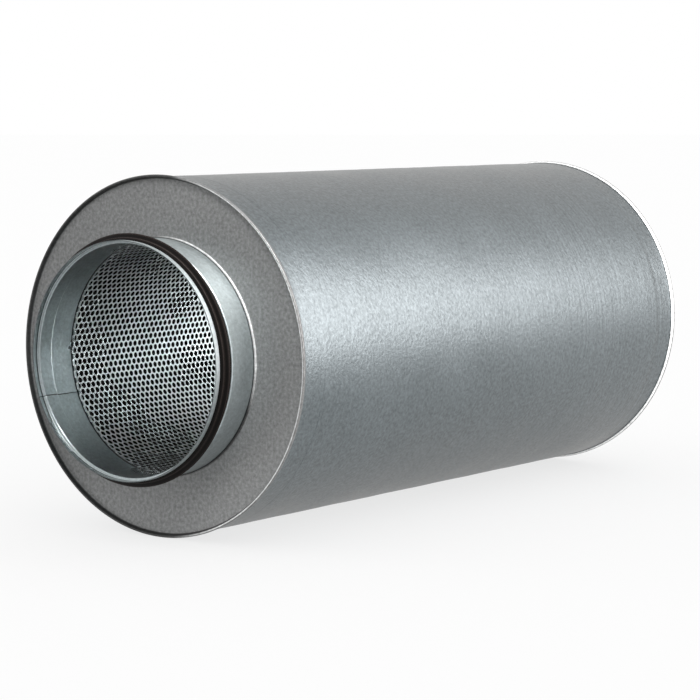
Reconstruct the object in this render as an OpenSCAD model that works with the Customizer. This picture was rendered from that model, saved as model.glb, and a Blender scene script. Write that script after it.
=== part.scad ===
// Round duct sound attenuator for a 200 mm duct.
// A rolled sheet casing is closed by two pressed end caps. Each cap carries a spigot with a rubber
// gasket, and a perforated tube wrapped in fleece runs through the wool lining between the spigots.
// The duct axis is X, +Z is up, and the origin is the middle of the attenuator on its axis.

/* [Casing] */
// Outside diameter of the rolled casing
casing_d = 300; // [280:5:400]
// Length of the casing's straight wall, without its flared edges
casing_len = 600; // [300:10:1200]
// Sheet thickness of the casing
casing_wall = 0.7; // [0.5:0.1:1]
// Length along the axis of each flared edge, which the end cap is folded over
flare_run = 2.5; // [2:0.1:4]
// Angle of the flared edges, from the axis
flare_angle = 25; // [20:1:35]
// Width of the casing's long lock seam
seam_w = 9; // [6:1:14]
// Height of the lock seam above the sheet
seam_h = 1.4; // [0.8:0.1:1.8]
// Place of the lock seam around the axis, counted up from the +Y side
seam_angle = -40; // [-80:5:80]
// Bare stretch between each end of the lock seam and the casing's flare
seam_relief = 6; // [5:0.5:20]

/* [End caps] */
// Sheet thickness of the end caps
cap_wall = 0.7; // [0.5:0.1:1]
// Depth of the flat plate behind the edge of the casing's flare
plate_depth = 2.5; // [2:0.1:6]
// Height of the neck that is turned out of the plate around the spigot
neck_h = 1.4; // [1.2:0.1:6]

/* [Spigots] */
// Outside diameter of the spigots
spigot_d = 199; // [150:1:219]
// Sheet thickness of the spigots
spigot_wall = 0.7; // [0.5:0.1:1]
// How far the spigots reach past the casing's straight wall
spigot_reach = 50; // [40:1:100]
// Length of the nose in front of the gasket's groove
nose_len = 5; // [4:0.5:10]
// Width of the gasket's groove between its two shoulders
groove_w = 16; // [14:0.5:20]
// Depth of the gasket's groove
groove_depth = 2.2; // [1.8:0.1:3]
// Length along the axis that each shoulder of the groove takes to step in
shoulder_run = 1; // [0.8:0.1:1.5]
// Bend radius of the spigots, to the middle of the sheet
spigot_bend = 0.8; // [0.6:0.1:0.9]
// Width of the flange turned outward behind the end cap
flange_w = 6.5; // [4:0.5:15]

/* [Gaskets] */
// How far the foot of the gasket lies below the spigot's wall
gasket_sink = 0.6; // [0.6:0.1:1]
// Place of the front lip's root, behind the gasket's front
front_lip_at = 1.2; // [1.1:0.1:1.5]
// Height of the front lip above the spigot
front_lip_h = 2; // [1.5:0.1:3]
// Place of the rear lip's root, behind the gasket's front
rear_lip_at = 3; // [3:0.1:9]
// Height of the rear lip above the spigot
rear_lip_h = 5.5; // [3:0.1:8]
// Thickness of the lips at their root
lip_root = 1.4; // [1.2:0.1:1.5]
// Thickness of the lips at their tip
lip_tip = 0.9; // [0.6:0.1:1.1]
// Lean of the lips, away from the mouth
lip_lean = 22; // [10:1:35]

/* [Lining] */
// Wall of the perforated tube
tube_wall = 0.7; // [0.5:0.1:1]
// How far the ends of the perforated tube stand out of the end caps' plates
tube_stand = 3.5; // [1:0.5:15]
// Diameter of the perforations, larger and fewer than those of the 4 mm sheet they stand for
hole_d = 13; // [8:0.5:14]
// Spacing of the perforations
hole_pitch = 20; // [18:1:60]
// Thickness of the fleece around the perforated tube
fleece_t = 2; // [1.2:0.1:5]

/* [Fits] */
// Gap between two sheets or layers that lie against each other
lay_gap = 0.1; // [0.05:0.05:0.3]
// Gap around the spigot inside the neck of the end cap
neck_gap = 0.3; // [0.1:0.05:0.5]
// Gap between the perforated tube and the spigots that it is pushed into
tube_gap = 0.8; // [0.2:0.1:0.9]

/* [Hidden] */

// Facets of a full turn, and the turn of one step along a bend
$fn = 96;
bend_step = 15;

// Stations along the axis at the front end, and radii
casing_r = casing_d / 2;
casing_mid = casing_r - casing_wall / 2;
casing_bore = casing_r - casing_wall;
casing_end = -casing_len / 2;
flare_edge = [casing_end - flare_run, casing_mid + flare_run * tan(flare_angle)];
plate_front = flare_edge.x + plate_depth;
plate_back = plate_front + cap_wall;
spigot_r = spigot_d / 2;
spigot_bore = spigot_r - spigot_wall;
mouth = casing_end - spigot_reach;
groove_front = mouth + nose_len;
groove_rear = groove_front + groove_w;
groove_r = spigot_r - groove_depth;
flange_front = plate_back + lay_gap;
flange_back = flange_front + spigot_wall;
flange_r = spigot_r + flange_w;
tube_r = spigot_bore - tube_gap;
tube_end = plate_front - tube_stand;
hole_rows = 2 * round(PI * tube_r / (hole_pitch * sin(60)));
row_turn = 360 / hole_rows;
fleece_bore = tube_r + lay_gap;
fleece_r = fleece_bore + fleece_t;
wool_bore = fleece_r + lay_gap;
wool_r = casing_bore - lay_gap;
lining_end = flange_back + lay_gap;

// The end caps are folded tight around the casing's flare: the distance between the middles of the
// two sheets, and the bend radius that this leaves, to the middle of the sheet
fold = (casing_wall + cap_wall) / 2 + lay_gap;
cap_bend = fold - lay_gap / 2;
steel = [0.66, 0.69, 0.71];
rubber = [0.10, 0.09, 0.09];

function unit(v) = v / norm(v);
function left_of(v) = [-v.y, v.x];
function turned(v, a) = [v.x * cos(a) - v.y * sin(a), v.x * sin(a) + v.y * cos(a)];
function reversed(points) = [for (i = [len(points) - 1 : -1 : 0]) points[i]];

// One face of a bent sheet: the corners of its middle line, rounded to bend and moved aside to the left
function sheet_face(corners, bend, aside) = [
    for (i = [0 : len(corners) - 1])
        let (
            last = len(corners) - 1,
            come = unit(i > 0 ? corners[i] - corners[i - 1] : corners[1] - corners[0]),
            leave = unit(i < last ? corners[i + 1] - corners[i] : corners[last] - corners[last - 1]),
            turn = atan2(come.x * leave.y - come.y * leave.x, come * leave),
            hand = sign(turn),
            start = corners[i] - bend * tan(abs(turn) / 2) * come,
            centre = start + hand * bend * left_of(come),
            steps = ceil(abs(turn) / bend_step)
        )
        each hand == 0
            ? [corners[i] + aside * left_of(come)]
            : [for (k = [0 : steps]) centre + turned((aside - hand * bend) * left_of(come), turn * k / steps)]
];

// Section of a bent sheet, as [along the axis, radius]
function sheet_section(corners, bend, wall) = concat(
    sheet_face(corners, bend, wall / 2),
    reversed(sheet_face(corners, bend, -wall / 2))
);

// Section of a leaning lip with a round tip, from the back of its root to the front
function lip_section(root_x, root_r, height) =
    let (
        lean = [sin(lip_lean), cos(lip_lean)],
        tip = [root_x, root_r] + (height - lip_tip / 2) / cos(lip_lean) * lean
    )
    concat(
        [[root_x + lip_root / 2, root_r]],
        [for (a = [0 : 30 : 180]) tip + lip_tip / 2 * turned([1, 0], a - lip_lean)],
        [[root_x - lip_root / 2, root_r]]
    );

module revolve(section) {
    rotate([0, 90, 0])
        rotate_extrude()
            polygon([for (p = section) [p.y, p.x]]);
}

module ring(outer_r, bore_r, from_x, to_x) {
    revolve([[from_x, bore_r], [to_x, bore_r], [to_x, outer_r], [from_x, outer_r]]);
}

module at_rear() {
    mirror([1, 0, 0])
        children();
}

// Rolled sheet with flared edges and a folded lock seam along it, cut back at both ends for the rims
module casing() {
    seam_end = casing_end + seam_relief;
    seam_turn = seam_w / casing_r * 180 / PI;
    color(steel)
        union() {
            revolve(sheet_section([
                flare_edge,
                [casing_end, casing_mid],
                [-casing_end, casing_mid],
                [-flare_edge.x, flare_edge.y]
            ], cap_bend, casing_wall));
            rotate([seam_angle - seam_turn / 2, 0, 0])
                rotate([0, 90, 0])
                    rotate([0, 0, 90 - seam_turn])
                        rotate_extrude(angle = seam_turn)
                            translate([casing_mid, seam_end])
                                square([seam_h + casing_wall / 2, -2 * seam_end]);
        }
}

// Pressed ring: a neck around the spigot, a flat plate, and a rim folded over the casing's flare
module end_cap() {
    mid = cap_wall / 2;
    neck_r = spigot_r + neck_gap + mid;
    outward = [-cos(flare_angle), sin(flare_angle)];
    across = fold * [sin(flare_angle), cos(flare_angle)];
    rim_top = flare_edge + (lay_gap + fold) * outward;
    inner_leg = rim_top - across;
    foot = [casing_end, casing_mid] + (casing_wall / 2 + lay_gap) * tan(flare_angle / 2) * outward + across;
    color(steel)
        revolve(sheet_section([
            [plate_front - neck_h, neck_r],
            [plate_front + mid, neck_r],
            [plate_front + mid, inner_leg.y - (plate_front + mid - inner_leg.x) * tan(flare_angle)],
            inner_leg,
            rim_top + across,
            foot
        ], cap_bend, cap_wall));
}

// Rolled sleeve with a groove for the gasket near its mouth and a flange that locks it behind the cap
module spigot() {
    mid = spigot_wall / 2;
    color(steel)
        revolve(sheet_section([
            [mouth, spigot_r - mid],
            [groove_front, spigot_r - mid],
            [groove_front + shoulder_run, groove_r - mid],
            [groove_rear - shoulder_run, groove_r - mid],
            [groove_rear, spigot_r - mid],
            [flange_front + mid, spigot_r - mid],
            [flange_front + mid, flange_r]
        ], spigot_bend, spigot_wall));
}

// Rubber ring that fills the groove, with a low front lip and a high rear lip
module gasket() {
    side = spigot_wall + lay_gap;
    foot_r = groove_r + lay_gap;
    top_r = spigot_r - gasket_sink;
    top_in = shoulder_run * gasket_sink / (spigot_r - foot_r);
    front_x = groove_front + side;
    rear_x = groove_rear - side;
    color(rubber)
        revolve(concat(
            [[front_x + shoulder_run, foot_r], [rear_x - shoulder_run, foot_r], [rear_x - top_in, top_r]],
            lip_section(front_x + rear_lip_at, top_r, rear_lip_h + gasket_sink),
            lip_section(front_x + front_lip_at, top_r, front_lip_h + gasket_sink),
            [[front_x + top_in, top_r]]
        ));
}

// Outline of the tube, with one flat for each row of perforations
module tube_outline(corner_r) {
    polygon([for (k = [0 : hole_rows - 1]) turned([corner_r, 0], (k + 0.5) * row_turn)]);
}

// Tube with staggered rows of round perforations, pushed into both spigots
module perforated_tube() {
    per_row = floor((-2 * tube_end - hole_d) / hole_pitch);
    first_x = -(per_row - 1) / 2 * hole_pitch - hole_pitch / 4;
    color(steel)
        difference() {
            rotate([0, 90, 0])
                linear_extrude(-2 * tube_end, center = true)
                    difference() {
                        tube_outline(tube_r);
                        tube_outline(tube_r - tube_wall);
                    }
            for (row = [0 : hole_rows - 1])
                for (i = [0 : per_row - 1])
                    rotate([row * row_turn, 0, 0])
                        translate([first_x + (i + row % 2 / 2) * hole_pitch, 0, tube_r - 3 * tube_wall])
                            cylinder(d = hole_d, h = 4 * tube_wall);
        }
}

// Thin fleece that keeps the wool out of the air stream
module fleece_wrap() {
    color([0.13, 0.12, 0.11])
        ring(fleece_r, fleece_bore, lining_end, -lining_end);
}

// Wool between the fleece and the casing, recessed at both ends around the spigots' flanges
module wool_lining() {
    wool_end = plate_back + lay_gap;
    recess_r = flange_r + lay_gap;
    color([0.74, 0.66, 0.42])
        revolve([
            [lining_end, wool_bore], [-lining_end, wool_bore],
            [-lining_end, recess_r], [-wool_end, recess_r],
            [-wool_end, wool_r], [wool_end, wool_r],
            [wool_end, recess_r], [lining_end, recess_r]
        ]);
}

module front_end_cap() {
    end_cap();
}

module rear_end_cap() {
    at_rear()
        end_cap();
}

module front_spigot() {
    spigot();
}

module rear_spigot() {
    at_rear()
        spigot();
}

module front_gasket() {
    gasket();
}

module rear_gasket() {
    at_rear()
        gasket();
}

casing();
front_end_cap();
rear_end_cap();
front_spigot();
rear_spigot();
front_gasket();
rear_gasket();
perforated_tube();
fleece_wrap();
wool_lining();
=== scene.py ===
import math

import bpy
import numpy as np
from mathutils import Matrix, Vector


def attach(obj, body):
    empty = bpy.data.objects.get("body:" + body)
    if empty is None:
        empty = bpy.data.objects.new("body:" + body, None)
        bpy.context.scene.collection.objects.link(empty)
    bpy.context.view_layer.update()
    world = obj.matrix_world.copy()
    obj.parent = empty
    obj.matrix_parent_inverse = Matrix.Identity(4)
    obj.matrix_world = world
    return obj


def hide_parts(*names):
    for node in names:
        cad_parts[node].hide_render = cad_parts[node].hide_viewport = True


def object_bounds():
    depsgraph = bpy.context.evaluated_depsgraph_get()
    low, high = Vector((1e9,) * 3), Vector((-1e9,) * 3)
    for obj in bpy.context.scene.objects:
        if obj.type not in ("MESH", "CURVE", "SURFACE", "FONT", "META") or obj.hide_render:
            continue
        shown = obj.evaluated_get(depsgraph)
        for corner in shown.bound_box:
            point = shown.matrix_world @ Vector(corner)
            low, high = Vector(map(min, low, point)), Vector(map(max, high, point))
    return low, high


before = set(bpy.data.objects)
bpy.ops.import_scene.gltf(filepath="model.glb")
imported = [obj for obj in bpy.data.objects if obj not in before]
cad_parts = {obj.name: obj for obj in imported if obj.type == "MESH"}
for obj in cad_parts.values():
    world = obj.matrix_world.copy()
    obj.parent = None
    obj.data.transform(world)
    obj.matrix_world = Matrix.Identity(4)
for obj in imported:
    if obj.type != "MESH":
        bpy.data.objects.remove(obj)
cad_low, cad_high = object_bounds()

# A round duct sound attenuator, in metres. The duct axis is X, +Z is up, and angles around the axis
# count from +Y towards +Z. Pieces at the rear end are mirrored from those at the front.

# Sheet sizes, as in the solids
SHEET = 0.0007
LAY_GAP = 0.0001
FLARE_RUN = 0.0025
FLARE_ANGLE = math.radians(25)
FOLD = SHEET + LAY_GAP
CAP_BEND = FOLD - LAY_GAP / 2
PLATE_DEPTH = 0.0025
NECK_H = 0.0014
NOSE_LEN = 0.005
GROOVE_W = 0.016
GROOVE_DEPTH = 0.0022
SHOULDER_RUN = 0.001
SPIGOT_BEND = 0.0008
GASKET_SINK = 0.0006
FRONT_LIP_AT = 0.0012
FRONT_LIP_H = 0.002
REAR_LIP_AT = 0.003
LIP_ROOT = 0.0014
LIP_TIP = 0.0009
LIP_LEAN = math.radians(22)
SEAM_W = 0.009
SEAM_H = 0.0014
SEAM_ANGLE = math.radians(-40)
SEAM_RELIEF = 0.006

# Perforation of the inner tube
HOLE_R = 0.00248
TUBE_SHEET = 0.0004
HOLE_ROWS = 118
HOLES_PER_ROW = 100
HOLE_SIDES = 10
TUBE_SECTORS = 4

# Fineness of the meshes
TURNS = 288
BEND_STEP = math.radians(15)
RUN_STEP = 0.006
RUN_EDGE = 0.0004
SHARP = math.radians(35)


def reach(node):
    """Lowest X, highest X, smallest radius and largest radius of a CAD node."""
    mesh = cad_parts[node].data
    points = np.empty(len(mesh.vertices) * 3)
    mesh.vertices.foreach_get("co", points)
    points = points.reshape(-1, 3)
    radius = np.hypot(points[:, 1], points[:, 2])
    return points[:, 0].min(), points[:, 0].max(), radius.min(), radius.max()


CASING_TIP, _, CASING_BORE, _ = reach("casing")
CASING_R = CASING_BORE + SHEET
CASING_MID = CASING_BORE + SHEET / 2
CASING_END = CASING_TIP + SHEET / 2 * math.sin(FLARE_ANGLE) + FLARE_RUN
FLARE_EDGE = np.array([CASING_END - FLARE_RUN, CASING_MID + FLARE_RUN * math.tan(FLARE_ANGLE)])
PLATE_FRONT = FLARE_EDGE[0] + PLATE_DEPTH
_, _, NECK_BORE, _ = reach("front_end_cap")
MOUTH, FLANGE_BACK, GROOVE_BORE, FLANGE_R = reach("front_spigot")
_, _, _, LIP_R = reach("front_gasket")
TUBE_END, _, _, TUBE_R = reach("perforated_tube")
SPIGOT_R = GROOVE_BORE + SHEET + GROOVE_DEPTH


def left_of(v):
    return np.array([-v[1], v[0]])


def turned(v, angle):
    c = math.cos(angle)
    s = math.sin(angle)
    return np.array([v[0] * c - v[1] * s, v[0] * s + v[1] * c])


def unit(v):
    return v / np.linalg.norm(v)


def bent_line(corners, bend):
    """Points and left-hand normals of the line through the corners, in (x, radius), rounded to bend."""
    corners = np.array(corners)
    last = len(corners) - 1
    points = []
    normals = []
    for i, corner in enumerate(corners):
        come = unit(corners[i] - corners[i - 1]) if i > 0 else unit(corners[1] - corners[0])
        leave = unit(corners[i + 1] - corners[i]) if i < last else come
        turn = math.atan2(come[0] * leave[1] - come[1] * leave[0], come @ leave)
        side = left_of(come)
        if turn == 0:
            points.append(corner)
            normals.append(side)
            continue
        hand = math.copysign(1, turn)
        centre = corner - bend * math.tan(abs(turn) / 2) * come + hand * bend * side
        steps = math.ceil(abs(turn) / BEND_STEP)
        for k in range(steps + 1):
            normal = turned(side, turn * k / steps)
            points.append(centre - hand * bend * normal)
            normals.append(normal)
    return np.array(points), np.array(normals)


def divided(points, normals):
    """The same line with more points on its straight runs, so that bends don't shade the flats."""
    more_points = [points[0]]
    more_normals = [normals[0]]
    for i in range(1, len(points)):
        run = np.linalg.norm(points[i] - points[i - 1])
        shares = [1.0]
        if run > 4 * RUN_EDGE:
            inner = np.linspace(RUN_EDGE, run - RUN_EDGE, max(2, math.ceil(run / RUN_STEP)))
            shares = list(inner / run) + [1.0]
        for share in shares:
            more_points.append(points[i - 1] + share * (points[i] - points[i - 1]))
            more_normals.append(normals[i - 1] + share * (normals[i] - normals[i - 1]))
    return np.array(more_points), np.array(more_normals)


def sheet_loop(points, normals):
    """Closed section of a sheet along a line, counterclockwise in (x, radius)."""
    aside = normals * SHEET / 2
    return np.concatenate([points - aside, (points + aside)[::-1]])


def mirrored(loop):
    return (loop * [-1, 1])[::-1]


def new_object(name, points, faces):
    mesh = bpy.data.meshes.new(name)
    mesh.from_pydata(points.tolist(), [], faces, shade_flat=False)
    mesh.set_sharp_from_angle(angle=SHARP)
    obj = bpy.data.objects.new(name, mesh)
    bpy.context.scene.collection.objects.link(obj)
    return obj


def around(x, radius, angle):
    return np.stack([x, radius * np.cos(angle), radius * np.sin(angle)], axis=-1)


def revolve(name, loop, shift, angles=None):
    """Turns a closed section around the axis. shift moves its points in x and radius."""
    if angles is None:
        angles = np.linspace(0, 2 * math.pi, TURNS, endpoint=False)
    rows = len(angles)
    size = len(loop)
    x = np.tile(loop[:, 0], (rows, 1))
    radius = np.tile(loop[:, 1], (rows, 1))
    angle = np.tile(angles[:, None], (1, size))
    x, radius = shift(x, radius, angle)
    points = around(x, radius, angle).reshape(-1, 3)
    i, j = np.meshgrid(np.arange(rows), np.arange(size), indexing="ij")
    here = i * size
    there = (i + 1) % rows * size
    onward = (j + 1) % size
    faces = np.stack([here + j, here + onward, there + onward, there + j], axis=-1).reshape(-1, 4).tolist()
    return new_object(name, points, faces)


def ripple(angle, waves, seed):
    """A smooth closed wave of about unit height around the axis."""
    draw = np.random.default_rng(seed)
    total = np.zeros_like(angle)
    for wave in waves:
        total += draw.uniform(0.5, 1.0) * np.sin(wave * angle + draw.uniform(0, 2 * math.pi))
    return total / len(waves)


def smooth_step(value, low, high):
    share = np.clip((value - low) / (high - low), 0, 1)
    return share * share * (3 - 2 * share)


# Slight unevenness of the rolled casing: it stands out only, and dies out at the rims
CASING_TURNS = 252
CASING_STATIONS = 76
WAVE_H = 0.00022
WAVE_FADE = 0.012
WAVE_SEED = 4
WAVES_ALONG_AND_AROUND = [(9, 2), (14, 3), (23, 1), (37, 4), (52, 2)]
CREASE_BACK = 0.0265
CREASE_RUN = 0.0012
CREASE_H = 0.00009
SEAM_FLANK = 0.0007


def casing_wave(x, angle):
    draw = np.random.default_rng(WAVE_SEED)
    total = np.zeros_like(x)
    for along, across in WAVES_ALONG_AND_AROUND:
        slope = 2 * math.pi * draw.uniform(0.8, 1.2) * along
        lengthwise = np.sin(slope * x + draw.uniform(0, 2 * math.pi))
        crosswise = np.cos(across * angle + draw.uniform(0, 2 * math.pi))
        total += lengthwise * crosswise / math.sqrt(along)
    fade = smooth_step(x, CASING_END + WAVE_FADE, CASING_END + 2 * WAVE_FADE)
    fade = fade * smooth_step(-x, CASING_END + WAVE_FADE, CASING_END + 2 * WAVE_FADE)
    return WAVE_H * fade * np.clip(0.5 + total, 0, 1)


def casing_step(x, angle):
    """The shallow step where the casing's end was set over the cap, and the lock seam."""
    crease = smooth_step(x, CASING_END + CREASE_BACK, CASING_END + CREASE_BACK + CREASE_RUN)
    crease = crease * smooth_step(-x, CASING_END + CREASE_BACK, CASING_END + CREASE_BACK + CREASE_RUN)
    offset = np.abs((angle - SEAM_ANGLE + math.pi) % (2 * math.pi) - math.pi) * CASING_R
    seam = 1 - smooth_step(offset, SEAM_W / 2 - SEAM_FLANK, SEAM_W / 2)
    ends = smooth_step(x, CASING_END + SEAM_RELIEF, CASING_END + SEAM_RELIEF + SEAM_FLANK)
    ends = ends * smooth_step(-x, CASING_END + SEAM_RELIEF, CASING_END + SEAM_RELIEF + SEAM_FLANK)
    return CREASE_H * crease, SEAM_H * seam * ends


def make_casing():
    fine = [SEAM_RELIEF, SEAM_RELIEF + SEAM_FLANK / 2, SEAM_RELIEF + SEAM_FLANK, CREASE_BACK,
            CREASE_BACK + CREASE_RUN / 3, CREASE_BACK + CREASE_RUN * 2 / 3, CREASE_BACK + CREASE_RUN]
    ends = [CASING_END + f for f in fine]
    stations = np.linspace(CASING_END, -CASING_END, CASING_STATIONS)[1:-1]
    stations = np.unique(np.round(np.concatenate([stations, ends, [-e for e in ends]]), 6))
    edge = (SEAM_W / 2 - SEAM_FLANK * np.array([1.0, 0.75, 0.5, 0.25, 0.0])) / CASING_R
    seam = np.concatenate([SEAM_ANGLE - edge, [SEAM_ANGLE], SEAM_ANGLE + edge])
    angles = np.linspace(0, 2 * math.pi, CASING_TURNS, endpoint=False)
    away = np.abs((angles - SEAM_ANGLE + math.pi) % (2 * math.pi) - math.pi) * CASING_R
    angles = np.sort(np.concatenate([angles[away > SEAM_W / 2 + SEAM_FLANK], seam % (2 * math.pi)]))
    corners = [FLARE_EDGE, [CASING_END, CASING_MID]] + [[x, CASING_MID] for x in stations]
    corners += [[-CASING_END, CASING_MID], FLARE_EDGE * [-1, 1]]

    def shift(x, radius, angle):
        crease, seam_rise = casing_step(x, angle)
        outside = radius > CASING_MID
        return x, radius + casing_wave(x, angle) + crease + np.where(outside, seam_rise, 0)

    return revolve("rolled_casing", sheet_loop(*bent_line(corners, CAP_BEND)), shift, angles)


# Hand-worked unevenness of the end caps
FOOT_WANDER = 0.00035
FOOT_WAVES = [7, 13, 29, 43]
NECK_WANDER = 0.00015
NECK_WAVES = [5, 9, 21]


def cap_loop():
    mid = SHEET / 2
    neck_r = NECK_BORE + mid
    plate = PLATE_FRONT + mid
    outward = np.array([-math.cos(FLARE_ANGLE), math.sin(FLARE_ANGLE)])
    across = FOLD * np.array([math.sin(FLARE_ANGLE), math.cos(FLARE_ANGLE)])
    rim_top = FLARE_EDGE + (LAY_GAP + FOLD) * outward
    inner_leg = rim_top - across
    foot = [CASING_END, CASING_MID] + (mid + LAY_GAP) * math.tan(FLARE_ANGLE / 2) * outward + across
    corners = [
        [PLATE_FRONT - NECK_H, neck_r],
        [plate, neck_r],
        [plate, inner_leg[1] - (plate - inner_leg[0]) * math.tan(FLARE_ANGLE)],
        inner_leg,
        rim_top + across,
        foot,
    ]
    return sheet_loop(*divided(*bent_line(corners, CAP_BEND)))


def make_cap(name, loop, seed):
    def shift(x, radius, angle):
        inward = -np.sign(x)
        foot = smooth_step(-np.abs(x), FLARE_EDGE[0], CASING_END) * (radius > CASING_R)
        neck = smooth_step(np.abs(x) + PLATE_FRONT, 0, NECK_H) * (radius < NECK_BORE + 2 * SHEET)
        x = x + inward * foot * FOOT_WANDER * ripple(angle, FOOT_WAVES, seed)
        x = x + inward * neck * NECK_WANDER * ripple(angle, NECK_WAVES, seed + 1)
        return x, radius

    return revolve(name, loop, shift)


# Butt seam of the rolled spigots: a narrow furrow along them, outside and inside
BUTT_ANGLE = math.radians(-21)
BUTT_W = 0.0009
BUTT_DEPTH = 0.0002
BUTT_STEPS = 8


def spigot_loop():
    mid = SHEET / 2
    wall = SPIGOT_R - mid
    groove = wall - GROOVE_DEPTH
    front = MOUTH + NOSE_LEN
    rear = front + GROOVE_W
    flange = FLANGE_BACK - mid
    corners = [
        [MOUTH, wall],
        [front, wall],
        [front + SHOULDER_RUN, groove],
        [rear - SHOULDER_RUN, groove],
        [rear, wall],
        [flange, wall],
        [flange, FLANGE_R],
    ]
    return sheet_loop(*divided(*bent_line(corners, SPIGOT_BEND)))


def make_spigot(name, loop):
    half = BUTT_W / SPIGOT_R / 2
    seam = np.linspace(BUTT_ANGLE - half, BUTT_ANGLE + half, BUTT_STEPS + 1)
    rest = np.linspace(BUTT_ANGLE + half, BUTT_ANGLE + 2 * math.pi - half, TURNS)[1:-1]
    middle = len(loop) // 2
    outward = np.where(np.arange(len(loop)) < middle, 1, -1)

    def shift(x, radius, angle):
        furrow = np.clip(1 - np.abs(angle - BUTT_ANGLE) / half, 0, 1)
        bare = radius < SPIGOT_R + SHEET / 2
        return x, radius + BUTT_DEPTH * furrow * bare * outward

    return revolve(name, loop, shift, np.concatenate([seam, rest]))


# Fineness and unevenness of the gaskets' lips
LIP_STEPS = 8
LIP_WANDER = 0.00025
LIP_DROOP = 0.0002
LIP_WAVES = [3, 7, 12]


def lip(root_x, root_r, tip_r):
    """Section of a leaning lip with a round tip, from the back of its root to the front."""
    lean = np.array([math.sin(LIP_LEAN), math.cos(LIP_LEAN)])
    tip = np.array([root_x, root_r]) + (tip_r - LIP_TIP / 2 - root_r) / math.cos(LIP_LEAN) * lean
    back = np.array([root_x + LIP_ROOT / 2, root_r])
    front = np.array([root_x - LIP_ROOT / 2, root_r])
    arc = [tip + LIP_TIP / 2 * turned([1, 0], a - LIP_LEAN) for a in np.linspace(0, math.pi, LIP_STEPS + 1)]
    rise = np.linspace(0, 1, LIP_STEPS, endpoint=False)
    climb = [back + t * (arc[0] - back) for t in rise]
    descent = [arc[-1] + t * (front - arc[-1]) for t in rise[1:]]
    return climb + arc + descent + [front]


def gasket_loop():
    side = SHEET + LAY_GAP
    foot_r = SPIGOT_R - GROOVE_DEPTH + LAY_GAP
    top_r = SPIGOT_R - GASKET_SINK
    top_in = SHOULDER_RUN * GASKET_SINK / (SPIGOT_R - foot_r)
    front = MOUTH + NOSE_LEN + side
    rear = MOUTH + NOSE_LEN + GROOVE_W - side
    base = [[front + SHOULDER_RUN, foot_r], [rear - SHOULDER_RUN, foot_r], [rear - top_in, top_r]]
    rear_lip = lip(front + REAR_LIP_AT, top_r, LIP_R)
    front_lip = lip(front + FRONT_LIP_AT, top_r, SPIGOT_R + FRONT_LIP_H)
    return np.array(base + rear_lip + front_lip + [[front + top_in, top_r]])


def make_gasket(name, loop, seed):
    def shift(x, radius, angle):
        rise = np.clip((radius - SPIGOT_R) / (LIP_R - SPIGOT_R), 0, 1)
        lean = rise * ripple(angle, LIP_WAVES, seed)
        return x + LIP_WANDER * lean, radius - LIP_DROOP * np.abs(lean)

    return revolve(name, loop, shift)


def ring_strip(outer, inner, closed):
    """Triangles between two runs of angles, as (run, index) corners, counterclockwise."""
    triangles = []
    o = 0
    i = 0
    last_o = len(outer) if closed else len(outer) - 1
    last_i = len(inner) if closed else len(inner) - 1

    def angle_of(run, k):
        return run[k % len(run)] + (2 * math.pi if k >= len(run) else 0)

    while o < last_o or i < last_i:
        step_outer = i == last_i or (o < last_o and angle_of(outer, o + 1) <= angle_of(inner, i + 1))
        if step_outer:
            triangles.append(((0, o), (0, o + 1), (1, i)))
            o += 1
        else:
            triangles.append(((0, o), (1, i + 1), (1, i)))
            i += 1
    return [tuple((run, k % len((outer, inner)[run])) for run, k in t) for t in triangles]


TUBE_PITCH = -2 * TUBE_END / HOLES_PER_ROW
TUBE_TURN = 2 * math.pi / HOLE_ROWS
TUBE_OUTER = TUBE_R - LAY_GAP
TUBE_INNER = TUBE_OUTER - TUBE_SHEET


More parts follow.
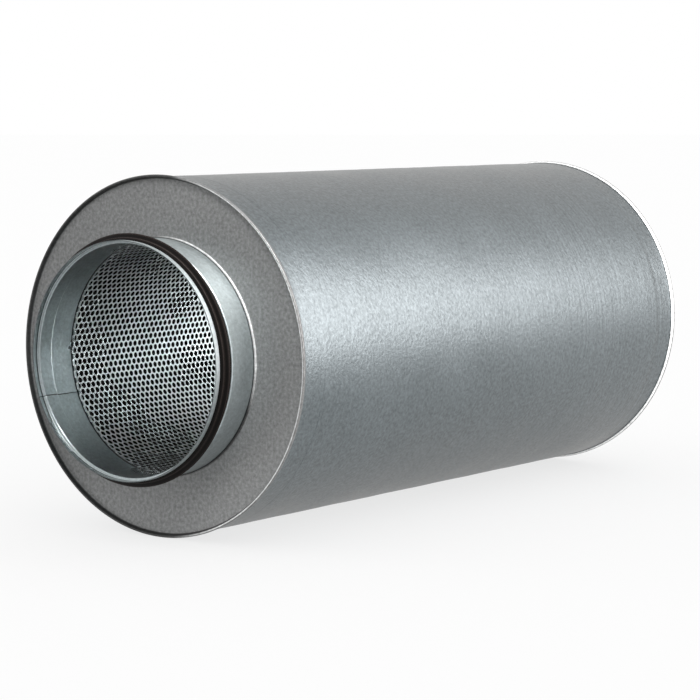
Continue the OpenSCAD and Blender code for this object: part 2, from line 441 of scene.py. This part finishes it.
def make_tube_sector(name, first_row, row_count):
    """Staggered rows of round holes, with half holes in the cut edge of every second row."""
    columns = 2 * HOLES_PER_ROW + 1
    half_row = TUBE_TURN * TUBE_OUTER / 2
    corner = math.atan2(half_row, TUBE_PITCH / 2)
    cell_steps = [(1, 1), (0, 1), (-1, 1), (-1, 0), (0, 0), (1, 0)]
    cell_angles = [corner, math.pi / 2, math.pi - corner,
                   math.pi + corner, 1.5 * math.pi, 2 * math.pi - corner]
    full_angles = [2 * math.pi * (k + 0.5) / HOLE_SIDES for k in range(HOLE_SIDES)]
    half_angles = [math.pi * k / (HOLE_SIDES // 2) - math.pi / 2 for k in range(HOLE_SIDES // 2 + 1)]
    front_steps = [(0, 0), (1, 0), (1, 1), (0, 1)]
    front_angles = [-math.pi / 2, -corner, corner, math.pi / 2]
    rear_steps = [(0, 1), (-1, 1), (-1, 0), (0, 0)]
    full_cell = ring_strip(cell_angles, full_angles, True)
    half_cell = ring_strip(front_angles, half_angles, False)

    grid_x, grid_row = np.meshgrid(np.arange(columns), np.arange(row_count + 1))
    xs = [(TUBE_END + grid_x * TUBE_PITCH / 2).ravel()]
    turns = [((first_row + grid_row - 0.5) * TUBE_TURN).ravel()]
    count = grid_x.size
    skin = []
    walls = []

    def add_hole(row, column, angles, steps, cell, full):
        nonlocal count
        angles = np.array(angles)
        xs.append(TUBE_END + column * TUBE_PITCH / 2 + HOLE_R * np.cos(angles))
        turns.append((first_row + row) * TUBE_TURN + HOLE_R * np.sin(angles) / TUBE_OUTER)
        rim = list(range(count, count + len(angles)))
        count += len(angles)
        cell_points = [(row + up) * columns + column + along for along, up in steps]
        runs = (cell_points, rim)
        skin.extend([runs[run][k] for run, k in triangle] for triangle in cell)
        onward = rim[1:] + rim[:1] if full else rim[1:]
        walls.extend(zip(rim, onward))
        if not full:
            walls.append((cell_points[0], rim[0]))
            walls.append((rim[-1], cell_points[-1]))

    for row in range(row_count):
        odd = (first_row + row) % 2
        for column in range(2 if odd else 1, columns - 1, 2):
            add_hole(row, column, full_angles, cell_steps, full_cell, True)
        if odd:
            add_hole(row, 0, half_angles, front_steps, half_cell, False)
            rear_angles = [a + math.pi for a in half_angles]
            add_hole(row, columns - 1, rear_angles, rear_steps, half_cell, False)
        else:
            walls.append((row * columns, (row + 1) * columns))
            walls.append(((row + 2) * columns - 1, (row + 1) * columns - 1))
    top = row_count * columns
    for column in range(columns - 1):
        walls.append((column + 1, column))
        walls.append((top + column, top + column + 1))

    xs = np.concatenate(xs)
    turns = np.concatenate(turns)
    outer = around(xs, np.full_like(xs, TUBE_OUTER), turns)
    inner = around(xs, np.full_like(xs, TUBE_INNER), turns)
    faces = [t[::-1] for t in skin]
    faces += [[v + count for v in t] for t in skin]
    faces += [[a, a + count, b + count, b] for a, b in walls]
    return new_object(name, np.concatenate([outer, inner]), faces)


# Looks of the sheets. ZINC_EDGE tints zinc that is seen at a flat angle. Noise is counted in spots per
# metre, and a tone is a share of the written colour
ZINC_EDGE = (1.0, 0.96, 0.94, 1.0)
NOISE_LOW = 0.3
NOISE_HIGH = 0.7
GRAIN = 340
GRAIN_H = 0.0003
CLOUDS = 14
CLOUD_SHARE = 0.03
# Tones of painted highlights and painted shade on the edges of the caps and spigots
HIGHLIGHT_TONE = 3.0
SHADE_TONE = 0.3


class Shader:
    """One material made of shader nodes."""

    def __init__(self, name, colour, roughness, metallic):
        self.material = bpy.data.materials.new(name)
        self.material.use_nodes = True
        self.tree = self.material.node_tree
        self.surface = self.tree.nodes["Principled BSDF"]
        self.colour = colour
        self.surface.inputs["Roughness"].default_value = roughness
        self.surface.inputs["Metallic"].default_value = metallic
        self.place = self.add("ShaderNodeTexCoord").outputs["Object"]

    def add(self, kind, **values):
        node = self.tree.nodes.new(kind)
        for key, value in values.items():
            node.inputs[key.replace("_", " ")].default_value = value
        return node

    def link(self, output, target):
        self.tree.links.new(output, target)

    def noise(self, scale, detail=2.0, roughness=0.5):
        node = self.add("ShaderNodeTexNoise", Scale=scale, Detail=detail, Roughness=roughness)
        self.link(self.place, node.inputs["Vector"])
        return node.outputs["Fac"]

    def between(self, value, low, high, new_low, new_high):
        node = self.add("ShaderNodeMapRange", From_Min=low, From_Max=high, To_Min=new_low, To_Max=new_high)
        self.link(value, node.inputs["Value"])
        return node.outputs["Result"]

    def ramp(self, value, start, reach, new_low, new_high):
        """From the new low to the new high over a reach of values, which counts from the start."""
        return self.between(value, start + reach[0], start + reach[1], new_low, new_high)

    def spread(self, noise, low, high):
        """The middle range of a noise, stretched to run from low to high."""
        return self.between(noise, NOISE_LOW, NOISE_HIGH, low, high)

    def maths(self, operation, first, second=None):
        node = self.add("ShaderNodeMath")
        node.operation = operation
        for socket, value in zip(node.inputs, (first, second)):
            if isinstance(value, (int, float)):
                socket.default_value = value
            elif value is not None:
                self.link(value, socket)
        return node.outputs["Value"]

    def product(self, first, *others):
        for other in others:
            first = self.maths("MULTIPLY", first, other)
        return first

    def axes(self):
        """The place on the object, as its X, Y and Z."""
        node = self.add("ShaderNodeSeparateXYZ")
        self.link(self.place, node.inputs["Vector"])
        return node.outputs["X"], node.outputs["Y"], node.outputs["Z"]

    def polar(self):
        """The distance from the middle of the part along its axis, and from the axis."""
        x, y, z = self.axes()
        squares = self.maths("ADD", self.product(y, y), self.product(z, z))
        return self.maths("ABSOLUTE", x), self.maths("SQRT", squares)

    def toward(self, angle):
        """The distance from the axis in the direction of an angle around it."""
        _, y, z = self.axes()
        return self.maths("ADD", self.product(y, math.cos(angle)), self.product(z, math.sin(angle)))

    def band(self, value, low, high, edge, tone):
        """The tone between two values, and 1 outside them."""
        rise = self.between(value, low - edge, low, 1, tone)
        fall = self.between(value, high, high + edge, tone, 1)
        return self.maths("MAXIMUM" if tone < 1 else "MINIMUM", rise, fall)

    def tint(self, tone):
        """Base colour: the written colour times a tone that varies over the surface."""
        node = self.add("ShaderNodeVectorMath")
        node.operation = "SCALE"
        node.inputs[0].default_value = self.colour
        self.link(tone, node.inputs["Scale"])
        self.link(node.outputs["Vector"], self.surface.inputs["Base Color"])

    def rough(self, value):
        self.link(value, self.surface.inputs["Roughness"])

    def bump(self, height, strength, distance):
        node = self.add("ShaderNodeBump", Strength=strength, Distance=distance)
        self.link(height, node.inputs["Height"])
        self.link(node.outputs["Normal"], self.surface.inputs["Normal"])


def zinc(name, colour, metallic, roughness, grain, speckle, marks, gloss=None):
    """Matt galvanised sheet: a fine grain in tone and height, cloudy gloss, and the marks of its piece."""
    shader = Shader(name, colour, roughness, metallic)
    shader.surface.inputs["Specular Tint"].default_value = ZINC_EDGE
    fine = shader.noise(GRAIN, 3.0, 0.6)
    cloud = shader.noise(CLOUDS, 3.0, 0.55)
    tone = shader.maths("ADD", shader.spread(fine, 1 - speckle, 1 + speckle),
                        shader.spread(cloud, -CLOUD_SHARE, CLOUD_SHARE))
    shader.tint(shader.product(tone, marks(shader)))
    matt = shader.spread(cloud, roughness - CLOUD_SHARE, roughness + CLOUD_SHARE)
    if gloss is not None:
        matt = shader.maths("SUBTRACT", matt, gloss(shader))
    shader.rough(matt)
    shader.bump(fine, grain, GRAIN_H)
    return shader.material


# Scratches of the casing: the ranges of noise that show, and where along X they come in
SCRATCHES = 260
SCRATCH_NOISE = (0.36, 0.64)
SCRATCH_TONE = 0.1
PATCHES = 9
PATCH_NOISE = (0.42, 0.6)
PATCH_X = (-0.05, 0.15)
PATCH_FRONT = 0.15
# Painted shade along the step of each crease
CREASE_EDGE = 0.0005
CREASE_TONE = 0.86


def casing_marks(shader):
    """Fine lines around the casing, in patches and mostly at the rear, and painted shade along its creases.
    """
    x, _, _ = shader.axes()
    lines = shader.add("ShaderNodeTexNoise", Scale=SCRATCHES, Detail=2.0)
    lines.noise_dimensions = "1D"
    shader.link(x, lines.inputs["W"])
    patches = shader.product(shader.ramp(shader.noise(PATCHES), 0, PATCH_NOISE, 0, 1),
                             shader.ramp(x, 0, PATCH_X, PATCH_FRONT, 1))
    worn = shader.ramp(lines.outputs["Fac"], 0, SCRATCH_NOISE, -SCRATCH_TONE, SCRATCH_TONE)
    worn = shader.maths("ADD", shader.product(worn, patches), 1)
    depth, _ = shader.polar()
    crease = -CASING_END - CREASE_BACK
    line = shader.band(depth, crease - CREASE_RUN, crease - CREASE_RUN / 2, CREASE_EDGE, CREASE_TONE)
    return shader.product(worn, line)


# Marks of the spigots, as lengths along the axis
BUTT_TONE = 0.15
NOSE_EDGE = 0.0003
NOSE_TONE = 0.8
SHOULDER_START = 0.0006
SHOULDER_END = 0.0018
SHOULDER_TONE = 0.25
TUBE_SHADE = 0.002
TUBE_TONE = 0.1
NECK_SHADE = 0.001
SHADE_EDGE = 0.0004
CUT_TONE = 0.55
OUTSIDE_TONE = 0.75
INSIDE_GLOSS = 0.17


def spigot_marks(shader):
    """Dark butt seam along the spigot, dull cut edge, and shade in its front shoulder, at the tube and at
    the cap's neck."""
    depth, radius = shader.polar()
    aside = shader.maths("ABSOLUTE", shader.toward(BUTT_ANGLE + math.pi / 2))
    seam = shader.maths("MAXIMUM", shader.between(aside, BUTT_W / 4, BUTT_W / 2, BUTT_TONE, 1),
                        shader.maths("LESS_THAN", shader.toward(BUTT_ANGLE), 0))
    outside = shader.maths("GREATER_THAN", radius, SPIGOT_R - SHEET / 2)
    inside = shader.maths("SUBTRACT", 1, outside)
    nose = -MOUTH - NOSE_LEN
    shade = shader.product(
        shader.band(depth, nose - SHOULDER_RUN, nose, NOSE_EDGE, NOSE_TONE),
        shader.band(depth, nose + SHOULDER_START, nose + SHOULDER_END, SHADE_EDGE, SHOULDER_TONE),
        shader.band(depth, -TUBE_END - TUBE_SHADE, -TUBE_END, SHADE_EDGE, TUBE_TONE))
    neck = shader.band(depth, -PLATE_FRONT, NECK_H - PLATE_FRONT + NECK_SHADE, SHADE_EDGE, SHADE_TONE)
    return shader.product(
        seam,
        shader.maths("MAXIMUM", shade, outside),
        shader.maths("MAXIMUM", neck, inside),
        shader.between(outside, 0, 1, 1, OUTSIDE_TONE),
        shader.between(depth, -MOUTH - SHEET / 2, -MOUTH - SHEET / 4, 1, CUT_TONE))


def spigot_gloss(shader):
    """The inside is smoother than the outside."""
    _, radius = shader.polar()
    return shader.between(radius, SPIGOT_R - SHEET, SPIGOT_R - SHEET / 2, INSIDE_GLOSS, 0)


# Painted shade and painted highlights of the end caps, in radius past the casing's outside and in depth past
# the edge of its flare
FOLD_RADIUS = (-0.0017, -0.001)
FOLD_TONE = 0.15
RIM_RADIUS = (-0.0002, 0.0003)
RIM_TONE = 0.7
CREST_RADIUS = (0.0009, 0.0014)
CREST_DEPTH = (0.0003, 0.0007)
CREST_Y = (-0.06, -0.015)
REAR_DEPTH = (-0.0009, -0.0004)
REAR_TONE = 0.25
NECK_ANGLE = math.radians(143.13)
NECK_REACH = (0.0499, 0.0798)


def cap_marks(shader):
    """Painted shade in the corner inside the cap's folded rim, and painted highlights and painted shade on
    its rim's and neck's edges, bright on the lit side and dark on the other.
    """
    x, y, _ = shader.axes()
    depth, radius = shader.polar()
    edge = -FLARE_EDGE[0]
    # Painted shade in the corner inside the fold
    fold = shader.ramp(radius, CASING_R, FOLD_RADIUS, 1, FOLD_TONE)
    # Front rim: a painted highlight on the crest at the -Y side, and painted shade on the rest of the rim
    front = shader.ramp(depth, edge, CREST_DEPTH, RIM_TONE, HIGHLIGHT_TONE)
    front = shader.maths("MINIMUM", front, shader.ramp(radius, CASING_R, CREST_RADIUS, HIGHLIGHT_TONE, RIM_TONE))
    front = shader.maths("MINIMUM", front, shader.ramp(y, 0, CREST_Y, HIGHLIGHT_TONE, SHADE_TONE))
    # Rear rim: a painted highlight on its outer leg and painted shade on its crest
    rear = shader.ramp(depth, edge, REAR_DEPTH, HIGHLIGHT_TONE, REAR_TONE)
    rim = shader.maths("ADD", shader.product(front, shader.maths("LESS_THAN", x, 0)),
                       shader.product(rear, shader.maths("GREATER_THAN", x, 0)))
    rim = shader.product(rim, shader.ramp(radius, CASING_R, RIM_RADIUS, 0, 1))
    # The neck's edge: a painted highlight toward NECK_ANGLE and painted shade on the far side
    neck = shader.ramp(shader.toward(NECK_ANGLE), 0, NECK_REACH, SHADE_TONE - 1, HIGHLIGHT_TONE - 1)
    neck = shader.product(neck, shader.between(radius, NECK_BORE + SHEET, NECK_BORE + 2 * SHEET, 1, 0))
    return shader.product(shader.maths("MAXIMUM", fold, rim), shader.maths("ADD", neck, 1))


# Marks of the tube, in depth past its ends
TUBE_CUT_DEPTH = (-0.0002, -0.0001)
TUBE_CUT_TONE = 0.2


def tube_marks(shader):
    """Darker cut ends of the tube."""
    depth, _ = shader.polar()
    return shader.ramp(depth, -TUBE_END, TUBE_CUT_DEPTH, 1, TUBE_CUT_TONE)


# Rubber and fibres
RUBBER_GRAIN = 900
RUBBER_GRAIN_H = 0.0001
RUBBER_CLOUDS = 60
LIP_HIGHLIGHT = 4.0
REAR_TIP = 0.0008
REAR_TIP_EDGE = 0.0006
FRONT_TIP = 0.0005
FRONT_TIP_EDGE = 0.0003
FIBRE_H = 0.0006


def rubber(name, colour):
    """Black rubber, with a painted highlight along the tips of its lips."""
    shader = Shader(name, colour, 0.5, 0.0)
    shader.surface.inputs["Specular IOR Level"].default_value = 0.09
    fine = shader.noise(RUBBER_GRAIN)
    _, radius = shader.polar()
    front_r = SPIGOT_R + FRONT_LIP_H
    # Painted highlight along the tips of both lips
    tips = shader.maths("MAXIMUM", shader.band(radius, LIP_R - REAR_TIP, LIP_R, REAR_TIP_EDGE, LIP_HIGHLIGHT),
                        shader.band(radius, front_r - FRONT_TIP, front_r, FRONT_TIP_EDGE, LIP_HIGHLIGHT))
    shader.tint(shader.product(tips, shader.spread(fine, 0.8, 1.2)))
    shader.rough(shader.spread(shader.noise(RUBBER_CLOUDS), 0.44, 0.58))
    shader.bump(fine, 0.2, RUBBER_GRAIN_H)
    return shader.material


def felt(name, colour, scale):
    """Matt fibres."""
    shader = Shader(name, colour, 0.95, 0.0)
    shader.surface.inputs["Specular IOR Level"].default_value = 0.1
    fibres = shader.noise(scale, 4.0, 0.7)
    shader.tint(shader.spread(fibres, 0.6, 1.4))
    shader.rough(shader.spread(fibres, 0.9, 1.0))
    shader.bump(fibres, 0.6, FIBRE_H)
    return shader.material


def dress(obj, material, node):
    obj.data.materials.clear()
    obj.data.materials.append(material)
    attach(obj, "root")
    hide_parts(node)


casing_zinc = zinc("casing_zinc", (0.158, 0.183, 0.193), metallic=1.0, roughness=0.36, grain=1.0,
                   speckle=0.24, marks=casing_marks)
cap_zinc = zinc("cap_zinc", (0.285, 0.29, 0.29), metallic=0.65, roughness=0.42, grain=0.4,
                speckle=0.28, marks=cap_marks)
spigot_zinc = zinc("spigot_zinc", (0.55, 0.615, 0.63), metallic=1.0, roughness=0.46, grain=0.3,
                   speckle=0.15, marks=spigot_marks, gloss=spigot_gloss)
tube_zinc = zinc("tube_zinc", (0.90, 0.945, 0.955), metallic=0.88, roughness=0.28, grain=0.08,
                 speckle=0.04, marks=tube_marks)
black_rubber = rubber("gasket_rubber", (0.0045, 0.0036, 0.0033))

dress(make_casing(), casing_zinc, "casing")
cap = cap_loop()
spigot = spigot_loop()
gasket = gasket_loop()
discs = []
sleeves = []
seals = []
tube_sectors = []
ends = [("front", lambda loop: loop, 11), ("rear", mirrored, 21)]
for end, placed, seed in ends:
    disc = make_cap(f"{end}_cap_sheet", placed(cap), seed)
    dress(disc, cap_zinc, f"{end}_end_cap")
    sleeve = make_spigot(f"{end}_spigot_sheet", placed(spigot))
    dress(sleeve, spigot_zinc, f"{end}_spigot")
    seal = make_gasket(f"{end}_lip_gasket", placed(gasket), seed)
    dress(seal, black_rubber, f"{end}_gasket")
    discs.append(disc)
    sleeves.append(sleeve)
    seals.append(seal)
row_marks = [round(HOLE_ROWS * k / TUBE_SECTORS) for k in range(TUBE_SECTORS + 1)]
for k in range(TUBE_SECTORS):
    sector = make_tube_sector(f"perforated_sheet_{k + 1}", row_marks[k], row_marks[k + 1] - row_marks[k])
    dress(sector, tube_zinc, "perforated_tube")
    tube_sectors.append(sector)
for node, slot, material in [
    ("fleece_wrap", "fleece", felt("black_fleece", (0.004, 0.0036, 0.0032), 1500)),
    ("wool_lining", "wool", felt("mineral_wool", (0.42, 0.34, 0.15), 300)),
]:
    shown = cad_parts[node]
    shown.data.materials.clear()
    shown.data.materials.append(material)

# Camera: where the photograph was taken from
EYE = Vector((-1.9050, -1.3703, 0.2103))
GAZE = Vector((0.80302, 0.58804, -0.09677))
SENSOR_MM = 36.0
LENS_MM = 130.25

# Stage: a white floor under the rims, a white room that is dim in front, a long soft light at the right,
# one above the spigots, one in front of the caps, and two behind the far end that shine into the tube
FLOOR_NEAR = 1.38
FLOOR_NEAR_HALF = 0.26
FLOOR_FAR = 30.0
FLOOR_FAR_HALF = 4.8
FLOOR_DROP = 0.0002
FLOOR_GLOW = 0.75
MIRROR_GLOW = 0.6
DIM_SIDE = Vector((-0.88, 0.32, -0.35))
DIM_START = 0.4
DIM_END = 0.9
DIM_LEVEL = 0.3
KEY_PLACE = Vector((1.15, -1.25, 0.37))
KEY_AIM = Vector((1.42, -0.72, 0.0))
KEY_SIZE = (2.8, 1.07)
KEY_POWER = 50.0
KEY_COLOUR = (1.0, 0.94, 0.925)
SIDE_PLACE = Vector((-0.3, -0.85, 1.6))
SIDE_AIM = Vector((-0.34, -0.05, 0.0))
SIDE_SIZE = (0.5, 0.9)
SIDE_POWER = 80.0
SIDE_COLOUR = (1.0, 0.98, 0.96)
TOP_PLACE = Vector((-0.85, -0.6, 0.95))
TOP_AIM = Vector((-0.3, 0.0, 0.0))
TOP_SIZE = (0.6, 0.6)
TOP_POWER = 19.0
TOP_COLOUR = (1.0, 0.99, 0.98)
BACK_PLACE = Vector((1.0, 0.0, 0.15))
BACK_AIM = Vector((0.35, 0.0, 0.0))
BACK_SIZE = (1.3, 1.3)
BACK_POWER = 47.0
GLINT_POWER = 16.0
BACK_COLOUR = (1.0, 1.0, 1.0)


def make_floor():
    """A white floor that widens away from the camera. It glows in part where it is seen or mirrored, so
    that its shadow stays light."""
    onward = Vector((GAZE.x, GAZE.y, 0)).normalized()
    aside = Vector((onward.y, -onward.x, 0))
    start = Vector((EYE.x, EYE.y, cad_low.z - FLOOR_DROP))
    near = start + FLOOR_NEAR * onward
    far = start + FLOOR_FAR * onward
    corners = [near + FLOOR_NEAR_HALF * aside, far + FLOOR_FAR_HALF * aside,
               far - FLOOR_FAR_HALF * aside, near - FLOOR_NEAR_HALF * aside]
    obj = new_object("floor", np.array(corners), [[0, 1, 2, 3]])
    paint = Shader("floor_paint", (0.98, 0.98, 0.98), 0.9, 0.0)
    paint.tint(paint.spread(paint.noise(2.0), 0.995, 1.005))
    seen = paint.add("ShaderNodeLightPath").outputs
    share = paint.maths("MAXIMUM", seen["Is Glossy Ray"], seen["Is Transmission Ray"])
    share = paint.maths("MAXIMUM", paint.product(share, MIRROR_GLOW),
                        paint.product(seen["Is Camera Ray"], FLOOR_GLOW))
    glow = paint.add("ShaderNodeEmission")
    both = paint.add("ShaderNodeMixShader")
    paint.link(share, both.inputs["Fac"])
    paint.link(paint.surface.outputs["BSDF"], both.inputs[1])
    paint.link(glow.outputs["Emission"], both.inputs[2])
    paint.link(both.outputs["Shader"], paint.tree.nodes["Material Output"].inputs["Surface"])
    obj.data.materials.append(paint.material)
    return obj


def make_room():
    """A white room around the stage, which grows dim towards one side."""
    world = bpy.data.worlds.new("room")
    bpy.context.scene.world = world
    world.use_nodes = True
    tree = world.node_tree
    way = tree.nodes.new("ShaderNodeTexCoord")
    towards = tree.nodes.new("ShaderNodeVectorMath")
    towards.operation = "DOT_PRODUCT"
    towards.inputs[1].default_value = DIM_SIDE
    level = tree.nodes.new("ShaderNodeMapRange")
    level.inputs["From Min"].default_value = DIM_START
    level.inputs["From Max"].default_value = DIM_END
    level.inputs["To Min"].default_value = 1.0
    level.inputs["To Max"].default_value = DIM_LEVEL
    tree.links.new(way.outputs["Generated"], towards.inputs[0])
    tree.links.new(towards.outputs["Value"], level.inputs["Value"])
    tree.links.new(level.outputs["Result"], tree.nodes["Background"].inputs["Strength"])
    tree.nodes["Background"].inputs["Color"].default_value = (1, 1, 1, 1)


def add_light(name, place, aim, size, power, colour):
    lamp = bpy.data.lights.new(name, "AREA")
    lamp.shape = "RECTANGLE"
    lamp.size, lamp.size_y = size
    lamp.energy = power
    lamp.color = colour
    obj = bpy.data.objects.new(name, lamp)
    obj.location = place
    obj.rotation_euler = (aim - place).to_track_quat("-Z", "Y").to_euler()
    obj.visible_camera = False
    bpy.context.scene.collection.objects.link(obj)
    return obj


def light_group(lamp, objects, state):
    """Keeps a lamp to the objects, or off them."""
    group = bpy.data.collections.new(f"{lamp.name}_group")
    for obj in objects:
        group.objects.link(obj)
    for member in group.collection_objects:
        member.light_linking.link_state = state
    lamp.light_linking.receiver_collection = group


floor = make_floor()
make_room()
key = add_light("key", KEY_PLACE, KEY_AIM, KEY_SIZE, KEY_POWER, KEY_COLOUR)
light_group(key, [floor], "EXCLUDE")
side = add_light("side", SIDE_PLACE, SIDE_AIM, SIDE_SIZE, SIDE_POWER, SIDE_COLOUR)
light_group(side, sleeves + seals, "INCLUDE")
top = add_light("top", TOP_PLACE, TOP_AIM, TOP_SIZE, TOP_POWER, TOP_COLOUR)
light_group(top, discs, "INCLUDE")
back = add_light("back", BACK_PLACE, BACK_AIM, BACK_SIZE, BACK_POWER, BACK_COLOUR)
light_group(back, tube_sectors, "INCLUDE")
glint = add_light("glint", BACK_PLACE, BACK_AIM, BACK_SIZE, GLINT_POWER, BACK_COLOUR)
light_group(glint, sleeves, "INCLUDE")

camera_data = bpy.data.cameras.new("camera")
camera_data.sensor_width = SENSOR_MM
camera_data.lens = LENS_MM
camera = bpy.data.objects.new("camera", camera_data)
camera.location = EYE
camera.rotation_euler = GAZE.to_track_quat("-Z", "Y").to_euler()
bpy.context.scene.collection.objects.link(camera)
bpy.context.scene.camera = camera
bpy.context.scene.view_settings.view_transform = "Standard"
